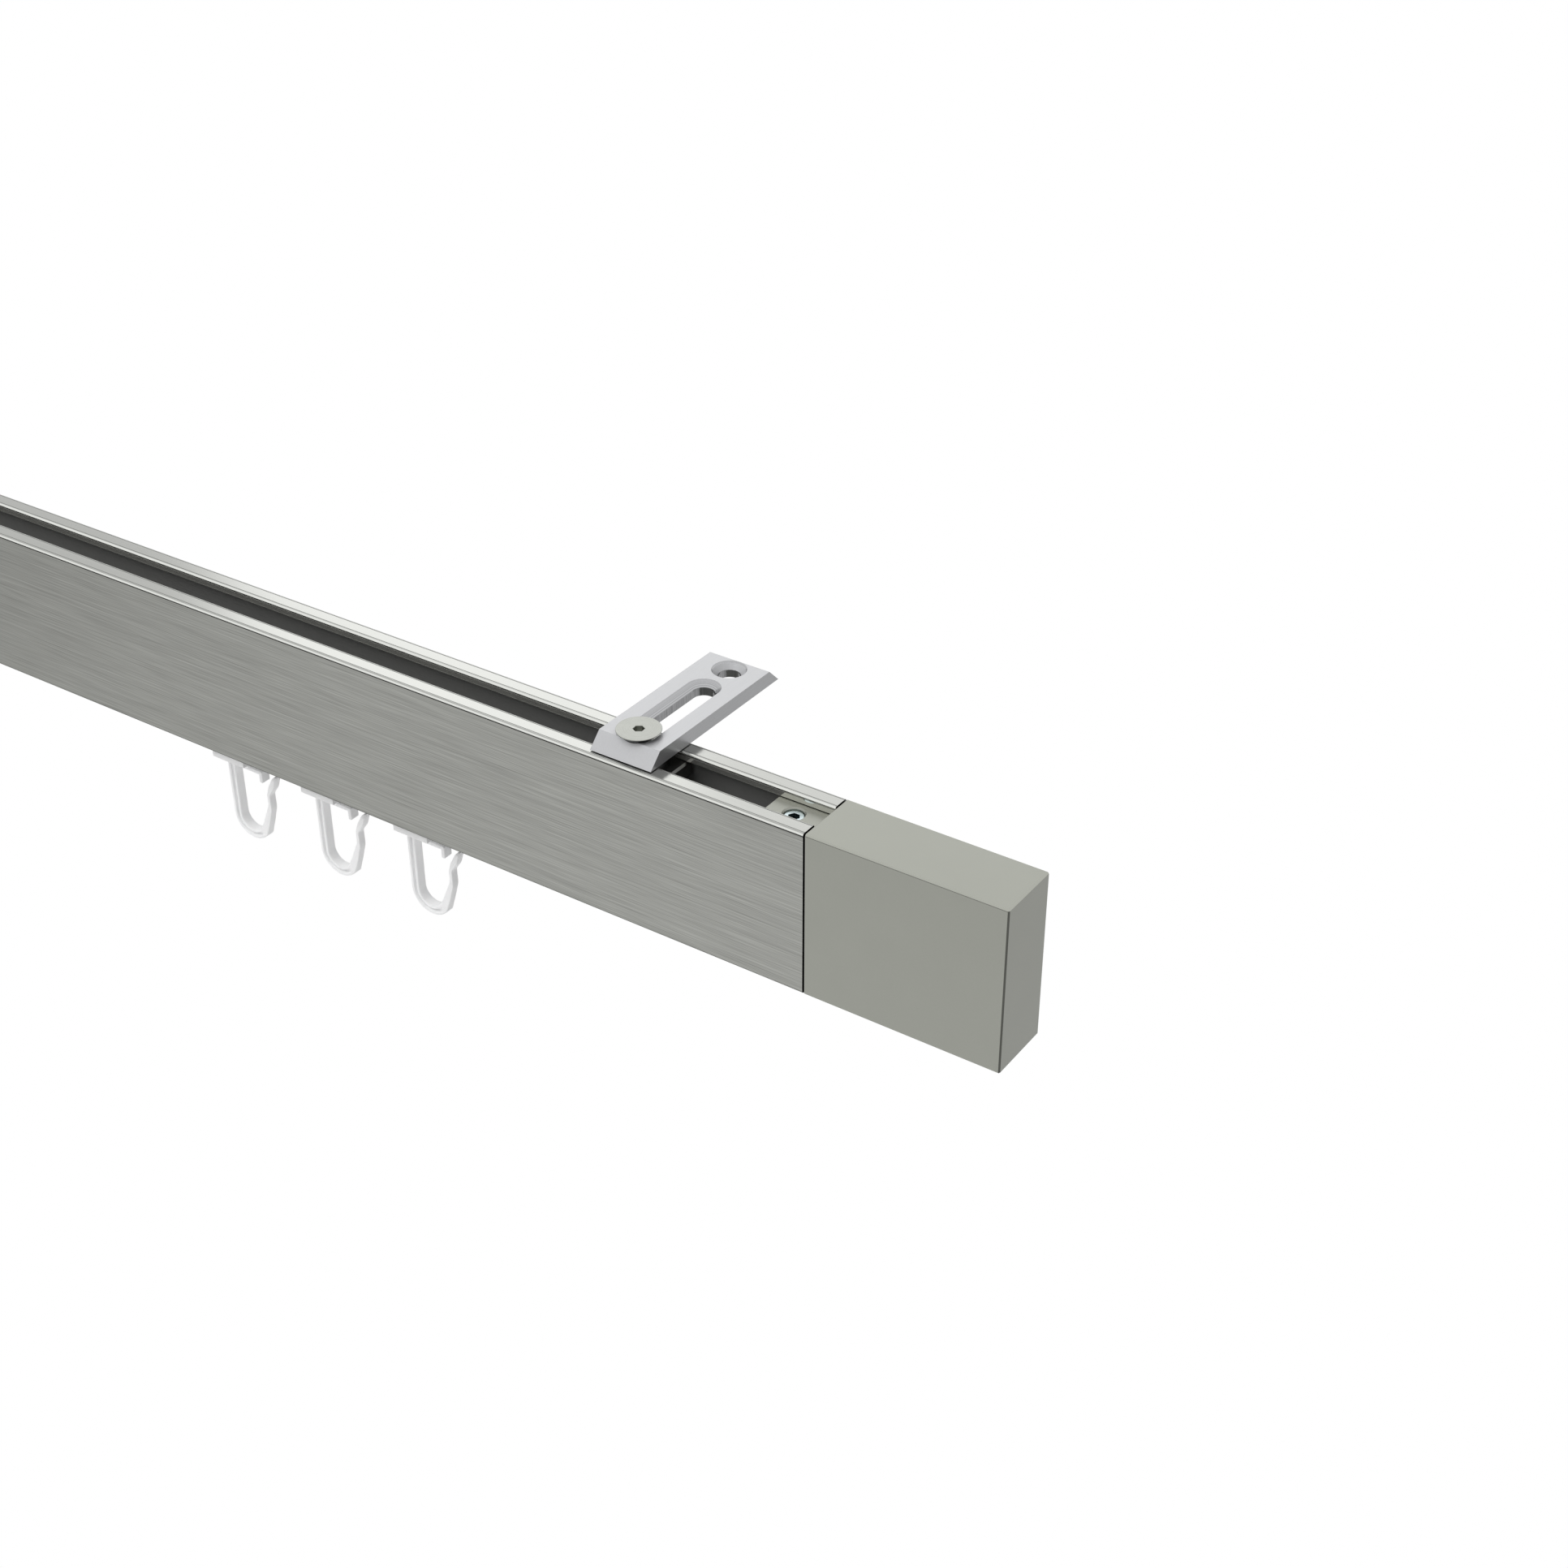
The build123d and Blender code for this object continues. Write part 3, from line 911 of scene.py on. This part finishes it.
    def loop(self):
        """A rounded wire from the head up and over the eye of the runner, with a round end."""
        post, ring, radius = 4, 30, 1.9
        turn = np.radians(np.linspace(0, 130, ring))
        rise = np.stack([np.full(post, LOOP[0] + radius), np.linspace(-6.1, -5.6, post)], 1)
        over = np.stack([LOOP[0] + radius * np.cos(turn), LOOP[1] + radius * np.sin(turn)], 1)
        line = np.concatenate([rise, over])
        tip = np.radians(np.linspace(0, 85, 7)[1:])
        line = np.concatenate([line, line[-1] + unit(line[-1] - line[-2]) * 0.55 * np.sin(tip)[:, None]])
        scale = np.concatenate([np.ones(post + ring), np.cos(tip)])[:, None]
        across = unit(np.gradient(line, axis=0))[:, ::-1] * (-1, 1)
        spin = np.radians(np.arange(0, 360, 22.5))
        first = np.sign(np.cos(spin)) * np.abs(np.cos(spin)) ** 0.75 * 0.59
        second = np.sign(np.sin(spin)) * np.abs(np.sin(spin)) ** 0.75 * 0.49
        at = line[:, None] + across[:, None] * (first * scale)[..., None]
        return tube("loop", self.set_in(at[..., 0], second * scale, at[..., 1]))


class CURTAINROD_OT_stage(bpy.types.Operator):
    """Lays the pale floor, hangs the soft lamps and sets up the camera"""

    bl_idname = "curtain_rod.stage"
    bl_label = "Stage"

    def execute(self, context):
        s, scene = context.scene.curtain_rod_stage, context.scene
        scene.view_settings.view_transform = "Standard"
        scene.world = bpy.data.worlds.new("Studio")
        look = Look(scene.world)
        level = look.node("ShaderNodeMix", {}, {0: look.seen(), 2: s.sky, 3: 1.0})
        look.feed(look.tree.nodes["Background"], {"Color": (1, 1, 1, 1), "Strength": level})

        floor, reach = bpy.data.meshes.new("floor"), s.floor_reach
        corners = [(-reach, -reach), (reach, -reach), (reach, reach), (-reach, reach)]
        floor.from_pydata([(x, y, -s.floor_drop) for x, y in corners], [], [(0, 1, 2, 3)])
        floor.materials.append(self.paper())
        sheet = bpy.data.objects.new("floor", floor)
        scene.collection.objects.link(sheet)

        bracket = (0.2, -0.03, 0)
        self.lamp("Key", (-0.56, 0.80, 0.64), bracket, (0.34, 0.34), s.key_power)
        self.lamp("Panel", (-0.34, 1.04, 0.83), bracket, (1.1, 0.8), s.panel_power)
        front = self.lamp("Front", (-0.05, -0.52, -0.41), (-0.05, -0.519, 0), (1.0, 0.6), s.front_power)
        front.visible_camera = False
        overhead = self.lamp("Overhead", (-0.2, -0.7, 1.3), (0.1, -0.03, 0), (1.4, 1.4), s.overhead_power)
        overhead.visible_glossy = False

        camera = bpy.data.cameras.new("Camera")
        camera.lens, camera.sensor_width = s.lens, 36.0
        viewer = bpy.data.objects.new("Camera", camera)
        viewer.location = CAMERA_AT
        viewer.rotation_euler = np.radians((90 - CAMERA_DOWN, 0, CAMERA_ROUND))
        scene.collection.objects.link(viewer)
        scene.camera = viewer
        return {"FINISHED"}

    def paper(self):
        """White to the camera and pale to the light that falls on it, and clear from below."""
        look = Look(bpy.data.materials.new("Paper"))
        paper = look.shader({"Base Color": (0.86, 0.86, 0.86, 1), "Roughness": 0.9})
        plain = Wire(look, look.tree.nodes["Principled BSDF"].outputs[0])
        white = look.node("ShaderNodeEmission", {}, {"Color": (1, 1, 1, 1), "Strength": 1.0})
        clear = look.node("ShaderNodeBsdfTransparent")
        below = look.node("ShaderNodeNewGeometry", output="Backfacing")
        above = look.node("ShaderNodeMixShader", {}, {0: look.seen(), 1: plain, 2: white})
        sheet = look.node("ShaderNodeMixShader", {}, {0: below, 1: above, 2: clear})
        look.feed(look.tree.nodes["Material Output"], {"Surface": sheet})
        return paper

    def lamp(self, name, at, target, size, power):
        """A rectangular area lamp that faces its target."""
        light = bpy.data.lights.new(name, "AREA")
        light.shape, light.size, light.size_y, light.energy = "RECTANGLE", *size, power
        lamp = bpy.data.objects.new(name, light)
        lamp.location = at
        lamp.rotation_euler = (Vector(target) - Vector(at)).to_track_quat("-Z", "Y").to_euler()
        bpy.context.scene.collection.objects.link(lamp)
        return lamp


class CURTAINROD_PT_panel(bpy.types.Panel):
    """The rod's pieces and settings in the sidebar"""

    bl_idname = "CURTAINROD_PT_panel"
    bl_label = "Curtain Rod"
    bl_space_type = "VIEW_3D"
    bl_region_type = "UI"
    bl_category = "Curtain Rod"

    def draw(self, context):
        for group in GROUPS:
            settings = getattr(context.scene, group)
            box = self.layout.box()
            for name in settings.__annotations__:
                box.prop(settings, name)
        for operator in OPERATORS:
            self.layout.operator(operator.bl_idname)


GROUPS = {
    "curtain_rod_metal": CurtainRodMetal,
    "curtain_rod_plastic": CurtainRodPlastic,
    "curtain_rod_threads": CurtainRodThreads,
    "curtain_rod_stage": CurtainRodStage,
}
OPERATORS = (
    CURTAINROD_OT_profile,
    CURTAINROD_OT_caps,
    CURTAINROD_OT_brackets,
    CURTAINROD_OT_screws,
    CURTAINROD_OT_runners,
    CURTAINROD_OT_hooks,
    CURTAINROD_OT_stage,
)


def register():
    for name, group in GROUPS.items():
        bpy.utils.register_class(group)
        setattr(bpy.types.Scene, name, bpy.props.PointerProperty(type=group))
    for kind in (*OPERATORS, CURTAINROD_PT_panel):
        bpy.utils.register_class(kind)


def unregister():
    for kind in (CURTAINROD_PT_panel, *reversed(OPERATORS)):
        bpy.utils.unregister_class(kind)
    for name, group in reversed(GROUPS.items()):
        delattr(bpy.types.Scene, name)
        bpy.utils.unregister_class(group)


def main():
    register()
    for operator in OPERATORS:
        getattr(bpy.ops.curtain_rod, operator.bl_idname.split(".")[1])()


if __name__ == "__main__":
    main()
